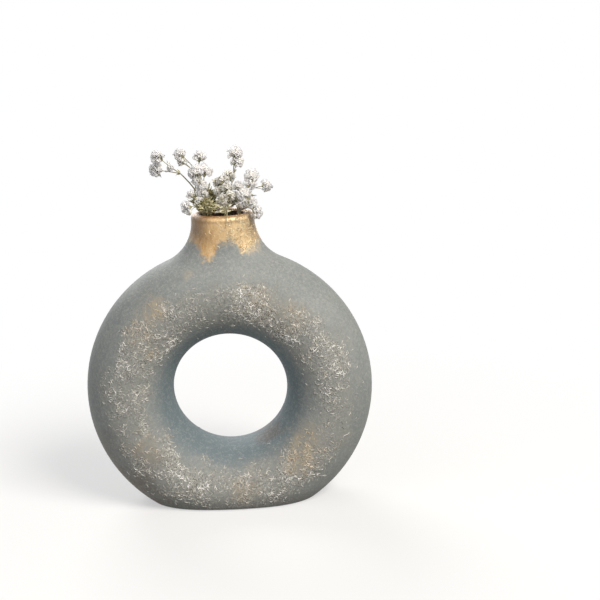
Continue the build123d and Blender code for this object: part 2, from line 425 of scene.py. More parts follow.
def neck_gold_share(tree, place):
    """How much gold covers a point of the neck, from 0 to 1, with a frayed lower edge."""
    xyz = add(tree, "ShaderNodeSeparateXYZ", [place]).outputs
    toward_front = add(tree, "ShaderNodeMath", [xyz["Y"], -1.0], operation="MULTIPLY")
    line = add(tree, "ShaderNodeMapRange", {
        "Value": curve_of(tree, turn_share(tree, xyz["X"], toward_front), GOLD_LINE),
        "To Min": MOUTH_HEIGHT - GOLD_DEPTH, "To Max": MOUTH_HEIGHT})
    over_line = add(tree, "ShaderNodeMath", [xyz["Z"], line], operation="SUBTRACT")
    ragged = patches(tree, place, 420.0, 4.0, 0.25, 0.75, least=-0.0035, most=0.0035, roughness=0.7)
    over_ragged = add(tree, "ShaderNodeMath", [over_line, ragged], operation="ADD")
    return add(tree, "ShaderNodeMapRange", [over_ragged, -0.0018, 0.0045], **SMOOTH)


print("gold line", len(GOLD_LINE), "spots")

# %% [markdown]
# ### Colour
#
# The coats go on in the order in which they were painted. First the grey: clouded and grainy, darker and
# cooler in the hole as painted shade, paler along the crinkled band, darker near the foot, with umber shadows
# and painted shade in the hollows beside the strokes. The clouds are 26 mm wide. Real grain and grit are finer
# than this render can show, so they are drawn 1.6 and 1.1 mm wide.

# %% Grey paint
DARKER_BELOW = 0.0110  # the grey is darker up to here, nearest the floor
ceramic = bpy.data.materials.new("matte_painted_slip_cast_ceramic")
tree = empty_tree(ceramic)
place = add(tree, "ShaderNodeTexCoord").outputs["Object"]
xyz, across = ring_place(tree, place)[:2]
band, crinkled = crinkled_share(tree, place)
neck_gold = neck_gold_share(tree, place)

cloud = patches(tree, place, 38.0, 3.0, 0.35, 0.65, roughness=0.55)
grain = add(tree, "ShaderNodeTexNoise", {"Vector": place, "Scale": 620.0, "Detail": 4.0, "Roughness": 0.7})
grit = add(tree, "ShaderNodeTexNoise", {"Vector": place, "Scale": 900.0, "Detail": 3.0, "Roughness": 0.7})
# painted shade in the hollows beside the crinkles, where the grit is low
painted_hollow_shade = add(tree, "ShaderNodeMapRange", [grit, 0.48, 0.38])
colour = coats(
    tree, "#7F8482",
    ("#8B8F8C", cloud),
    ("#B2B3AC", add(tree, "ShaderNodeMapRange", [grain, 0.50, 0.66, 0.0, 0.20])),
    ("#626664", add(tree, "ShaderNodeMapRange", [grain, 0.50, 0.34, 0.0, 0.20])),
    # painted shade: the hole's inner side is darker and cooler
    ("#69767A", add(tree, "ShaderNodeMapRange", [across, -0.45, -0.9], **SMOOTH)),
    ("#8F908A", band, 0.8),
    ("#BEBDB4", add(tree, "ShaderNodeMapRange", [crinkled, 0.35, 0.95, 0.0, 0.42])),
    # darker towards the floor
    ("#62605A", add(tree, "ShaderNodeMapRange", [xyz["Z"], DARKER_BELOW, 0.001, 0.0, 0.65], **SMOOTH)),
    ("#67503F", blots(tree, place, UMBER_BLOTS), 0.7),
    ("#383731", painted_hollow_shade, crinkled, 0.9))
print("grey paint", len(tree.nodes), "nodes")

# %% [markdown]
# Then the gold of the neck. It is streaked up and down, with streaks 4 mm wide and three times as long,
# paler on the right, with painted shade in brown at the two sides and in the groove under the lip, and browner
# on the lip's top.

# %% Gold paint
# Where each brown begins and where it is full: painted shade across and up the neck, and under the mouth
SHADED_NECK_SIDES = [(-0.0050, -0.0150), (0.0115, 0.0175)]
UPPER_NECK = (0.147, 0.156)
LIP_TOP = (MOUTH_HEIGHT - 0.0016, MOUTH_HEIGHT - 0.0004)
GROOVE_HEIGHT = MOUTH_HEIGHT - 0.0032
streaks = add(tree, "ShaderNodeMapping", {"Vector": place, "Scale": (1.0, 1.0, 0.35)})
streak = patches(tree, streaks, 260.0, 5.0, 0.34, 0.62, roughness=0.65)
toward_right = add(tree, "ShaderNodeMapRange", [xyz["X"], -0.0060, 0.0070], **SMOOTH)
gold_paint = coats(tree, "#AE854F", ("#D9B682", streak), ("#E3CBA0", toward_right, 0.6))
upper_neck = add(tree, "ShaderNodeMapRange", [xyz["Z"], *UPPER_NECK, 0.12, 0.9], **SMOOTH)
# painted shade: brown where the neck turns away at each side, on its upper part
for near, far in SHADED_NECK_SIDES:
    neck_side_shade = add(tree, "ShaderNodeMapRange", [xyz["X"], near, far], **SMOOTH)
    gold_paint = coats(tree, gold_paint, ("#7A6450", neck_side_shade, upper_neck))
off_groove = off(tree, xyz["Z"], GROOVE_HEIGHT)
# painted shade in the groove under the lip
painted_groove_shade = add(tree, "ShaderNodeMapRange", [off_groove, 0.0002, 0.0013, 0.65, 0.0], **SMOOTH)
lip_top = add(tree, "ShaderNodeMapRange", [xyz["Z"], *LIP_TOP, 0.0, 0.6], **SMOOTH)
gold_paint = coats(tree, gold_paint, ("#8A6A45", painted_groove_shade, cloud), ("#8F6038", lip_top))
colour = coats(tree, colour, (gold_paint, neck_gold))
print("gold paint", len(tree.nodes), "nodes")

# %% [markdown]
# Last comes what the rag left: cream on the crinkles, gold in the blots, and pale gold on the right of the
# neck.

# %% Rubbed cream and gold paint
crinkles = crinkle_lines(tree, place, spacing=0.0019, thickness=0.07, offset=0.37)
gold = blots(tree, place, GOLD_BLOTS)
anywhere = add(tree, "ShaderNodeMath", [crinkled, 0.15], operation="MAXIMUM")
rag_amount = product(tree, crinkles, anywhere)
neck_strokes = product(tree, crinkles, neck_gold, toward_right)
rag_colour = coats(tree, "#DDDACF", ("#D2B78C", gold))
colour = coats(
    tree, colour, (rag_colour, rag_amount), ("#C6B08A", gold, streak, 0.45), ("#F0DDB2", neck_strokes, 0.8))
print("paint layers", len(tree.nodes), "nodes")

# %% [markdown]
# Two places have no paint. The glaze stops inside the mouth, where the throat is bare clay, coloured dark brown
# as painted shade deep in the mouth, and the foot is wiped clean so that it doesn't stick in the kiln.

# %% Bare clay, and painted shade in the throat
THROAT_FOOT = 0.090
FOOT_RING_TOP = 0.0016
off_axis = off_neck_axis(tree, xyz)
in_bore = add(tree, "ShaderNodeMapRange", [off_axis, BORE_RADIUS + 0.0006, BORE_RADIUS + 0.0001])
high_up = add(tree, "ShaderNodeMath", [xyz["Z"], THROAT_FOOT], operation="GREATER_THAN")
normal = add(tree, "ShaderNodeNewGeometry").outputs["Normal"]
upwards = add(tree, "ShaderNodeSeparateXYZ", [normal]).outputs["Z"]
under = add(tree, "ShaderNodeMath", [upwards, -0.97], operation="LESS_THAN")
low = add(tree, "ShaderNodeMath", [xyz["Z"], FOOT_RING_TOP], operation="LESS_THAN")
# painted shade: the bare throat high in the bore is dark brown, while the foot's bare clay is pale
colour = coats(tree, colour, ("#5B4A3B", in_bore, high_up), ("#C8BBA6", under, low))
print("with bare clay", len(tree.nodes), "nodes")

# %% [markdown]
# ### Relief and shine
#
# The painted crinkles and the neck's strokes are a bump, with a fine chalky grit under them. The matte paint
# is rough; the rubbed gold is a little smoother and partly metallic.

# %% Relief, shine and the finished ceramic
relief = add(tree, "ShaderNodeMath", [rag_amount, neck_strokes], operation="MAXIMUM")
relief = add(tree, "ShaderNodeMath", [relief, product(tree, grit, 0.4)], operation="ADD")
bump = add(tree, "ShaderNodeBump", {"Strength": 1.0, "Distance": 0.0004, "Height": relief})
roughness = add(tree, "ShaderNodeMapRange", {"Value": neck_gold, "To Min": 0.68, "To Max": 0.44})
finish_surface(
    tree, Base_Color=colour, Roughness=roughness, Metallic=product(tree, neck_gold, 0.35), Normal=bump, IOR=1.5)
print("ceramic material", len(tree.nodes), "nodes")

# %% [markdown]
# ## The vase body
#
# The CAD node already has the true shape, with the blended neck, the rolled lip and the hollow inside, so
# it stays and only takes the material.

# %% Dress the body
body = frame["nodes"]["vase_body"]
body.data.materials.clear()
body.data.materials.append(ceramic)
print("vase body", len(body.data.polygons), "triangles")

# %% [markdown]
# ## The raised strokes
#
# The largest crinkles throw shadows of their own, so they are real geometry. Each is a low ridge, 1.3 to
# 3.5 mm long and a tenth of that high, that bends one way or both ways and tapers to its ends. Four of them
# are modelled once, a unit long, and Geometry Nodes strews thousands over the band.

# %% Four bent ridges
def closed_piece(name, points, faces):
    """An object with a smooth closed mesh whose faces all look outwards."""
    mesh = bpy.data.meshes.new(name)
    mesh.from_pydata(points, [], faces)
    work = bmesh.new()
    work.from_mesh(mesh)
    bmesh.ops.recalc_face_normals(work, faces=work.faces)
    work.to_mesh(mesh)
    work.free()
    mesh.shade_smooth()
    return bpy.data.objects.new(name, mesh)


def ring_faces(rings, count):
    """Faces between one end point, some rings of points, and a last end point."""
    last = 1 + rings * count
    faces = []
    for k in range(count):
        following = (k + 1) % count
        faces.append((0, 1 + k, 1 + following))
        faces.append((last, last - count + following, last - count + k))
        for low in range(1, last - count, count):
            faces.append((low + k, low + count + k, low + count + following, low + following))
    return faces


def bent_ridge(name, bend, wave, half_width, proud, steps=5, sunk=0.05):
    """A closed ridge a unit long: it bends to one side, waves to both, and tapers to its ends."""
    points = []
    for step in range(steps + 1):
        along = step / steps
        x = along - 0.5
        y = bend * math.sin(math.pi * along) + wave * math.sin(2 * math.pi * along)
        full = math.sin(math.pi * along) ** 0.5
        if step in (0, steps):
            points.append((x, y, -sunk))
        else:
            for side, level in ((-1.0, -sunk), (0.0, proud), (1.0, -sunk)):
                points.append((x, y + side * half_width * full, max(level * full, -sunk)))
    return closed_piece(name, points, ring_faces(steps - 1, 3))


ridges = bpy.data.collections.new("bent_ridges")
scene.collection.children.link(ridges)
for number, (bend, wave) in enumerate([(0.05, 0.0), (0.26, 0.03), (0.06, 0.14), (0.42, -0.08)]):
    ridges.objects.link(bent_ridge("ridge_pattern_%d" % number, bend, wave, half_width=0.10, proud=0.10))

# %% [markdown]
# Every tree here takes named inputs, and ends by making its instances real and giving them a material. A
# tree only shows its result on an object that carries it as a modifier, so the last function below sets the
# tree's inputs, takes the finished result off as a plain mesh and throws the carrier away.

# %% Start, end and run a tree
def new_tree(name, inputs):
    """An empty Geometry Nodes tree with named inputs, and their sockets."""
    tree = bpy.data.node_groups.new(name, "GeometryNodeTree")
    for label, kind in inputs.items():
        tree.interface.new_socket(label, in_out="INPUT", socket_type="NodeSocket" + kind)
    tree.interface.new_socket("Mesh", in_out="OUTPUT", socket_type="NodeSocketGeometry")
    return tree, add(tree, "NodeGroupInput").outputs


def end_tree(tree, geometry, material):
    """Makes a tree's instances real, gives them their material and hands them out."""
    whole = add(tree, "GeometryNodeRealizeInstances", {"Geometry": geometry})
    painted = add(tree, "GeometryNodeSetMaterial", {"Geometry": whole, "Material": material})
    add(tree, "NodeGroupOutput", [painted])
    print(tree.name, len(tree.nodes), "nodes")


def spun(tree, rotation, seed):
    """A rotation with a random turn about its own Z added, and the random share of a turn that it took."""
    chance = add(tree, "FunctionNodeRandomValue", {"Seed": seed}, data_type="FLOAT").outputs[1]
    about_z = add(tree, "FunctionNodeAxisAngleToRotation", {
        "Axis": (0, 0, 1), "Angle": product(tree, chance, 2 * math.pi)})
    return add(tree, "FunctionNodeRotateRotation", [rotation, about_z], rotation_space="LOCAL"), chance


def run_tree(tree, holder, values, name):
    """Runs a tree on an object with its named inputs, and returns the result as a plain mesh object."""
    scene.collection.objects.link(holder)
    modifier = holder.modifiers.new("tree", "NODES")
    modifier.node_group = tree
    for item in tree.interface.items_tree:
        if item.in_out == "INPUT" and item.name in values:
            modifier[item.identifier] = values[item.name]
    depsgraph = bpy.context.evaluated_depsgraph_get()
    mesh = bpy.data.meshes.new_from_object(holder.evaluated_get(depsgraph))
    bpy.data.objects.remove(holder)
    mesh.name = name
    piece = bpy.data.objects.new(name, mesh)
    scene.collection.objects.link(piece)
    return piece


# %% [markdown]
# The tree takes the vase's skin, keeps only faces that look away from the tube's middle line, since the
# hollow inside has the same places across the ring, and sets ridges on it at random but never too close.
# It reads the same crinkled band and the same gold line as the paint does, so strokes and paint agree.

# %% Where ridges may lie
# How far ridges keep off the floor, the bore and the mouth
OFF_FLOOR, OFF_BORE, OFF_MOUTH = 0.003, 0.001, 0.006


def ridge_share(tree, position, normal):
    """How thickly ridges lie at a point of the skin, from 0 to 1."""
    xyz, _, in_plane = in_ring_plane(tree, position)
    unit = add(tree, "ShaderNodeVectorMath", [in_plane], operation="NORMALIZE")
    on_line = add(tree, "ShaderNodeVectorMath", {0: unit, "Scale": RING_CENTRELINE_RADIUS}, operation="SCALE")
    centred = add(tree, "ShaderNodeVectorMath", [position, (0, 0, RING_CENTRE_HEIGHT)], operation="SUBTRACT")
    from_line = add(tree, "ShaderNodeVectorMath", [centred, on_line], operation="SUBTRACT")
    facing = add(tree, "ShaderNodeVectorMath", [normal, from_line], operation="DOT_PRODUCT").outputs["Value"]
    right_half = add(tree, "ShaderNodeMapRange", [xyz["X"], -0.009, 0.002, 0.0, 0.5])
    outside, off_floor, off_bore, below_lip = [
        add(tree, "ShaderNodeMath", [value, limit], operation=test)
        for value, limit, test in (
            (facing, 0.0, "GREATER_THAN"), (xyz["Z"], OFF_FLOOR, "GREATER_THAN"),
            (off_neck_axis(tree, xyz), BORE_RADIUS + OFF_BORE, "GREATER_THAN"),
            (xyz["Z"], MOUTH_HEIGHT - OFF_MOUTH, "LESS_THAN"))]
    on_neck = product(tree, neck_gold_share(tree, position), right_half, below_lip, off_bore)
    thickly = add(tree, "ShaderNodeMath", [crinkled_share(tree, position)[1], on_neck], operation="MAXIMUM")
    return product(tree, thickly, outside, off_floor)


# %% A tree that strews ridges over the skin
strokes_tree, given = new_tree("strewn_ridges", {
    "Geometry": "Geometry", "Skin": "Object", "Ridges": "Collection", "Spacing": "Float", "Density": "Float",
    "Shortest": "Float", "Longest": "Float", "Seed": "Int", "Material": "Material"})
tree = strokes_tree
skin = add(tree, "GeometryNodeObjectInfo", {"Object": given["Skin"]}).outputs["Geometry"]
position = add(tree, "GeometryNodeInputPosition").outputs[0]
normal = add(tree, "GeometryNodeInputNormal").outputs[0]
strewn = add(tree, "GeometryNodeDistributePointsOnFaces", {
    "Mesh": skin, "Distance Min": given["Spacing"], "Density Max": given["Density"],
    "Density Factor": ridge_share(tree, position, normal), "Seed": given["Seed"]}, distribute_method="POISSON")
turned = spun(tree, strewn.outputs["Rotation"], given["Seed"])[0]
second_seed, third_seed = [
    add(tree, "ShaderNodeMath", [given["Seed"], step], operation="ADD") for step in (1.0, 2.0)]
chance = add(tree, "FunctionNodeRandomValue", {"Seed": second_seed}, data_type="FLOAT").outputs[1]
length = add(tree, "ShaderNodeMapRange", {
    "Value": chance, "To Min": given["Shortest"], "To Max": given["Longest"]})
# A random integer's least and most are inputs 4 and 5, and it comes out third
which = add(tree, "FunctionNodeRandomValue", {
    4: 0, 5: len(ridges.objects) - 1, "Seed": third_seed}, data_type="INT").outputs[2]
shapes = add(tree, "GeometryNodeCollectionInfo", {
    "Collection": given["Ridges"], "Separate Children": True, "Reset Children": True})
end_tree(tree, add(tree, "GeometryNodeInstanceOnPoints", {
    "Points": strewn.outputs["Points"], "Instance": shapes, "Pick Instance": True, "Instance Index": which,
    "Rotation": turned, "Scale": length}), given["Material"])

# %% [markdown]
# The rag rubbed over the ridges left cream on most of them and pale gold on some. It caught in spots 3 mm
# wide and left the gold in patches of 8 mm. The gold collects in the same blots as on the paint beneath, and
# on the neck all of it is pale gold.

# %% Rubbed cream and gold
rubbed = bpy.data.materials.new("rubbed_cream_and_gold")
tree = empty_tree(rubbed)
place = add(tree, "ShaderNodeTexCoord").outputs["Object"]
worn = add(tree, "ShaderNodeTexNoise", {"Vector": place, "Scale": 330.0, "Detail": 3.0, "Roughness": 0.6})
wear, bright = [
    add(tree, "ShaderNodeMapRange", [worn, low, high])
    for low, high in ((0.44, 0.54), (0.48, 0.57))]
thick = add(tree, "ShaderNodeMapRange", [crinkled_share(tree, place)[1], 0.30, 0.75])
neck_tint = coats(tree, "#C99F62", ("#F0DBAE", wear))
colour = coats(
    tree, "#8E8E88",
    ("#D6D3C9", wear),
    ("#FFFEFA", bright, thick),
    ("#C9B48F", patches(tree, place, 120.0, 2.0, 0.54, 0.70, most=0.3)),
    ("#E2C494", blots(tree, place, GOLD_BLOTS), 0.75),
    (neck_tint, neck_gold_share(tree, place), 0.95))
finish_surface(tree, Base_Color=colour, Roughness=0.55)
print("rubbed material", len(tree.nodes), "nodes")

# %% Strew the ridges
carrier = bpy.data.objects.new("skin_carrier", bpy.data.meshes.new("skin_carrier"))
strokes = run_tree(strokes_tree, carrier, {
    "Skin": body, "Ridges": ridges, "Spacing": 0.00086, "Density": 1300000.0, "Shortest": 0.0013,
    "Longest": 0.0035, "Seed": 11, "Material": rubbed}, "crinkle_strokes")
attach(strokes, "vase")
for ridge in list(ridges.objects):
    bpy.data.objects.remove(ridge)
print("crinkle strokes", sum(len(face.vertices) - 2 for face in strokes.data.polygons), "triangles")

# %% [markdown]
# ## Dried baby's-breath
#
# Each sprig is one thin, slightly crooked stem that forks into branches, and each branch ends in a small
# double flower: a papery pompon of a few dozen ruffled petals in a little green-brown cup. The stems and
# branches below run where the CAD sprigs run, so each dressed sprig can be lifted out along the same line.
#
# The points are in millimetres: the stem's four, then each flower's centre with its radius.

# %% Where the sprigs stand
MM = 0.001
sprigs = {
    "sprig_far_left": (
        [(-7.9, 1.3, 101.0), (-9.8, 1.5, 167.0), (-13.9, 1.2, 177.1), (-21.6, 0.6, 185.4)],
        [(-33.5, -2.9, 195.6, 3.6), (-35.3, 1.0, 188.1, 3.7), (-27.0, -1.0, 189.2, 1.8)],
    ),
    "sprig_upper_left": (
        [(-5.4, 5.9, 102.1), (-6.6, 7.3, 167.0), (-8.7, 7.4, 176.9), (-12.6, 7.6, 185.1)],
        [(-11.2, 7.0, 194.3, 3.4), (-22.3, 8.0, 196.0, 3.4), (-22.0, 8.5, 191.2, 2.5)],
    ),
    "sprig_left": (
        [(-7.6, -2.6, 101.0), (-9.3, -3.2, 167.0), (-9.5, -3.5, 171.0), (-9.7, -4.1, 174.2)],
        [(-13.3, -5.0, 187.8, 4.0), (-8.3, -4.5, 187.8, 3.6), (-10.4, -5.5, 180.0, 3.0),
         (-10.8, -7.0, 176.2, 2.5), (-8.6, -5.0, 174.2, 2.2), (-13.0, -5.8, 183.5, 2.6)],
    ),
    "sprig_low_left": (
        [(-4.5, -6.6, 102.4), (-5.5, -8.2, 167.0), (-7.1, -9.0, 168.7), (-10.1, -10.5, 170.1)],
        [(-16.2, -13.0, 176.2, 2.0), (-19.1, -12.0, 168.4, 3.2), (-12.0, -11.0, 172.6, 2.0)],
    ),
    "sprig_centre": (
        [(1.4, -7.9, 103.1), (1.7, -9.7, 167.0), (1.6, -9.0, 169.1), (1.4, -7.6, 170.8)],
        [(-1.1, -2.5, 181.0, 3.2), (4.3, -0.6, 184.4, 3.3), (2.9, -6.0, 178.6, 3.0), (-1.8, -6.4, 176.9, 2.4),
         (0.4, -9.0, 172.5, 3.2), (5.6, -8.5, 174.6, 2.6), (-1.6, -8.4, 171.6, 1.9), (1.6, -4.4, 182.6, 3.0)],
    ),
    "sprig_tall": (
        [(2.9, 7.5, 102.9), (3.5, 9.2, 167.0), (4.7, 9.2, 176.2), (6.8, 9.1, 183.7)],
        [(7.9, 9.0, 195.6, 3.6), (9.0, 8.5, 190.9, 3.4)],
    ),
    "sprig_right": (
        [(7.8, 1.9, 101.0), (9.6, 2.4, 167.0), (11.0, 2.5, 171.5), (13.7, 2.7, 175.2)],
        [(17.1, 2.9, 183.7, 3.6), (16.4, 1.5, 180.0, 3.4), (25.2, 1.0, 177.6, 3.0)],
    ),
    "sprig_low_right": (
        [(6.8, -4.2, 101.2), (8.4, -5.2, 167.0), (9.0, -5.7, 168.5), (10.1, -6.4, 169.8)],
        [(9.2, -5.0, 179.0, 2.8), (11.2, -8.0, 174.9, 3.0), (12.1, -9.2, 169.8, 2.6), (16.9, -8.5, 169.6, 3.0),
         (19.3, -9.9, 164.0, 3.2), (13.8, -6.0, 175.4, 2.4)],
    ),
}
print("sprigs", len(sprigs), "flowers", sum(len(blooms) for stem, blooms in sprigs.values()))

# %% [markdown]
# ### Dried plant materials
#
# Dried petals are thin matte paper, off-white, with a few brown flecks, and let some light through. The cups
# and leaves have faded to olive, and the stems to straw brown.

# %% Petal, leaf and stem materials
def dried_plant(name, main, second, fleck, spot_spacing, fleck_share, roughness, sheer=0.0):
    """A matte dried-plant finish: two tones in soft spots, with darker flecks. Sheer lets light through."""
    material = bpy.data.materials.new(name)
    tree = empty_tree(material)
    place = add(tree, "ShaderNodeTexCoord").outputs["Object"]
    spots = patches(tree, place, 1 / spot_spacing, 3.0, 0.38, 0.62)
    specks = add(tree, "ShaderNodeTexNoise", {"Vector": place, "Scale": 2.1 / spot_spacing, "Detail": 2.0})
    flecks = add(tree, "ShaderNodeMapRange", [specks, 0.70 - fleck_share, 0.74 - fleck_share])
    colour = coats(tree, main, (second, spots), (fleck, flecks))
    bump = add(tree, "ShaderNodeBump", {"Strength": 0.4, "Distance": 0.0001, "Height": specks})
    finish_surface(tree, Base_Color=colour, Roughness=roughness, Normal=bump, Subsurface_Weight=sheer,
                   Subsurface_Scale=0.001, Subsurface_Radius=(1.0, 1.0, 0.9))
    return material


petal_paper = dried_plant("dried_petal_paper", "#FEFDFA", "#FBF9F3", "#CFC9B6", 0.0016, 0.03, 0.75, 0.8)
centre_petals = dried_plant("faded_cream_petal_paper", "#FAF8F1", "#E9E5D6", "#77724F", 0.0013, 0.08, 0.78, 0.8)
cup_green = dried_plant("dried_olive_cup", "#8E8E68", "#B4B08E", "#4B4830", 0.0012, 0.06, 0.7)
leaf_olive = dried_plant("dried_olive_leaf", "#8B8658", "#E6DEB6", "#3C3922", 0.0013, 0.12, 0.65)
leaf_cream = dried_plant("bleached_olive_leaf", "#C4BE99", "#FBF8EC", "#5A5438", 0.0013, 0.12, 0.7)
stem_straw = dried_plant("dried_straw_stem", "#938B66", "#A89F7E", "#5C5239", 0.0020, 0.06, 0.6)
print("materials", [material.name for material in bpy.data.materials])

# %% [markdown]
# ### Stems
#
# A stem is a curve with a round section. A Geometry Nodes tree resamples the curve, pushes its points aside
# a little with noise, because a dried stem is never quite straight, and sweeps a circle along it. The
# curves are NURBS, so three or four points give a smooth bend.

# %% A tree for crooked stems
stem_tree, given = new_tree("crooked_stems", {
    "Curves": "Geometry", "Step": "Float", "Crookedness": "Float", "Kink Length": "Float",
    "Material": "Material"})
tree = stem_tree
stepped = add(tree, "GeometryNodeResampleCurve", {
    "Curve": given["Curves"], "Length": given["Step"]}, mode="LENGTH")
kinks = add(tree, "ShaderNodeMath", [1.0, given["Kink Length"]], operation="DIVIDE")
position = add(tree, "GeometryNodeInputPosition")
wander = add(tree, "ShaderNodeTexNoise", {"Vector": position, "Scale": kinks, "Detail": 1.0}).outputs["Color"]
centred = add(tree, "ShaderNodeVectorMath", [wander, (0.5, 0.5, 0.5)], operation="SUBTRACT")
push = add(tree, "ShaderNodeVectorMath", {0: centred, "Scale": given["Crookedness"]}, operation="SCALE")
crooked = add(tree, "GeometryNodeSetPosition", {"Geometry": stepped, "Offset": push})
section = add(tree, "GeometryNodeCurvePrimitiveCircle", {"Resolution": 8, "Radius": 1.0})
end_tree(tree, add(tree, "GeometryNodeCurveToMesh", {
    "Curve": crooked, "Profile Curve": section, "Fill Caps": True,
    "Scale": add(tree, "GeometryNodeInputRadius")}), given["Material"])

# %% [markdown]
# Each sprig's curves: the stem, a branch to each flower, and on every long branch a hair-thin twig that ends
# in a bud. The random bends are seeded, so they are the same in every run.

# %% Curves of one sprig
LONG_BRANCH = 6 * MM
# A head's petals start this far behind its centre and reach this far, in shares of its radius
HEAD_BACK, HEAD_REACH = 0.35, 1.32


def curve_through(curves, points, radii):
    """Adds one smooth NURBS line through the neighbourhood of its points, with its radii in millimetres."""
    spline = curves.splines.new("NURBS")
    spline.points.add(len(points) - 1)
    for spot, point, radius in zip(spline.points, points, radii):
        spot.co = (*point, 1.0)
        spot.radius = radius * MM
    spline.order_u = 3
    spline.use_endpoint_u = True
    spline.resolution_u = 10


def aside(direction, dice, reach):
    """A seeded random vector at right angles to a direction."""
    wild = Vector([dice.uniform(-1, 1) for axis in range(3)])
    return (wild - direction * wild.dot(direction)).normalized() * reach


def stem_points(name):
    """A sprig's foot, where it leaves the mouth, its arch and its fork, in metres."""
    return [Vector(point) * MM for point in sprigs[name][0]]


def flowers(name):
    """Centre and radius of each flower of a sprig, in metres."""
    return [(Vector(place) * MM, radius * MM) for *place, radius in sprigs[name][1]]


def sprig_curves(name, dice):
    """The curves of a sprig, and the place, direction and size of each flower and bud."""
    foot, leaving, arch, fork = stem_points(name)
    curves = bpy.data.curves.new(name + "_curves", "CURVE")
    curves.dimensions = "3D"
    before_leaving = leaving + (foot - leaving).normalized() * 8 * MM
    curve_through(curves, [foot, before_leaving, leaving, arch, fork], [0.55, 0.5, 0.45, 0.38, 0.32])
    heads, buds = [], []
    for centre, radius in flowers(name):
        axis = (centre - fork).normalized()
        tip = centre - axis * radius * 0.6
        middle = (fork + tip) / 2 + aside(axis, dice, 0.04 * (tip - fork).length)
        curve_through(curves, [fork, middle, tip], [0.28, 0.22, 0.18])
        heads.append((centre - axis * HEAD_BACK * radius, axis, radius * HEAD_REACH))
        if (tip - fork).length > LONG_BRANCH:
            start = fork.lerp(tip, dice.uniform(0.35, 0.6))
            lean = (axis + aside(axis, dice, 0.7)).normalized()
            end = start + lean * dice.uniform(2.6, 3.8) * MM
            curve_through(curves, [start, start.lerp(end, 0.5) + axis * 0.3 * MM, end], [0.16, 0.13, 0.11])
            buds.append((end, lean, dice.uniform(0.8, 1.1) * MM))
    return curves, heads, buds


# %% [markdown]
# ### Parts of a flower
#
# A petal, a sepal, a leaf, a bud and a cup are modelled once each, about a unit long, along +Z. The first
# three are thin closed shells: a grid of points bent and ruffled by a rule, with a second sheet behind it
# that shares the rim. Buds and cups are turned from a profile.

# %% Petal, sepal, leaf, bud and cup
def thin_blade(name, half_widths, curl, ruffle, thickness):
    """A closed blade from its base to its tip: half widths from base to tip, how far it curls and ruffles."""
    rows, columns = len(half_widths), 4
    front, back = [], []
    for row, half_width in enumerate(half_widths):
        along = row / (rows - 1)
        for column in range(columns):
            side = 2 * column / (columns - 1) - 1
            lift = curl * along**2 + ruffle * along * math.sin(2.6 * math.pi * side + 4 * along)
            end = along - 0.10 * along**4 * side**2
            thick = thickness * (1 - side**2) * (1 - along) ** 0.5 + 0.004
            front.append((side * half_width, lift, end))
            back.append((side * half_width, lift + thick, end))
    faces = []
    count = rows * columns
    for row in range(rows - 1):
        for column in range(columns - 1):
            a = row * columns + column
            quad = (a, a + 1, a + columns + 1, a + columns)
            faces += [quad, tuple(count + v for v in reversed(quad))]
    rim = [row * columns for row in range(rows)] + [(rows - 1) * columns + c for c in range(1, columns)]
    rim += [row * columns + columns - 1 for row in range(rows - 2, -1, -1)] + list(range(columns - 2, 0, -1))
    faces += [(b, a, count + a, count + b) for a, b in zip(rim, rim[1:] + rim[:1])]
    return closed_piece(name, front + back, faces)


def turned_piece(name, profile, sides=8):
    """A closed piece turned from a profile of (radius, height)."""
    angles = [2 * math.pi * k / sides for k in range(sides)]
    points = [(r * math.cos(a), r * math.sin(a), level) for r, level in profile[1:-1] for a in angles]
    points = [(0, 0, profile[0][1])] + points + [(0, 0, profile[-1][1])]
    return closed_piece(name, points, ring_faces(len(profile) - 2, sides))


LEAF_CURL = 0.36
petal = thin_blade("petal_pattern", [0.06, 0.16, 0.30, 0.34], curl=0.16, ruffle=0.10, thickness=0.05)
sepal = thin_blade("sepal_pattern", [0.16, 0.22, 0.15, 0.02], curl=0.10, ruffle=0.0, thickness=0.05)
leaf = thin_blade("leaf_pattern", [0.03, 0.11, 0.13, 0.09, 0.01], LEAF_CURL, ruffle=0.01, thickness=0.02)
bud = turned_piece("bud_pattern", [(0, -0.3), (0.45, 0.0), (0.75, 0.6), (0.62, 1.15), (0.25, 1.55), (0, 1.65)])
cup = turned_piece("cup_pattern", [
    (0, -0.62), (0.10, -0.58), (0.22, -0.40), (0.34, -0.15), (0.20, 0.0), (0, 0.02)])
patterns = (petal, sepal, leaf, bud, cup)
for pattern in patterns:
    scene.collection.objects.link(pattern)
    print(pattern.name, len(pattern.data.polygons), "faces")

# %% [markdown]
# ### Clusters
#
# Petals fan out from the cup, and every flower repeats that fan. So one tree does both: it spreads copies of
# a part over a range of tilts with the golden angle, as a real flower head does, and sets that cluster on
# every given point, turned to the point's direction and grown to its size. A single part, such as a bud
# or a leaf, is a cluster of one.

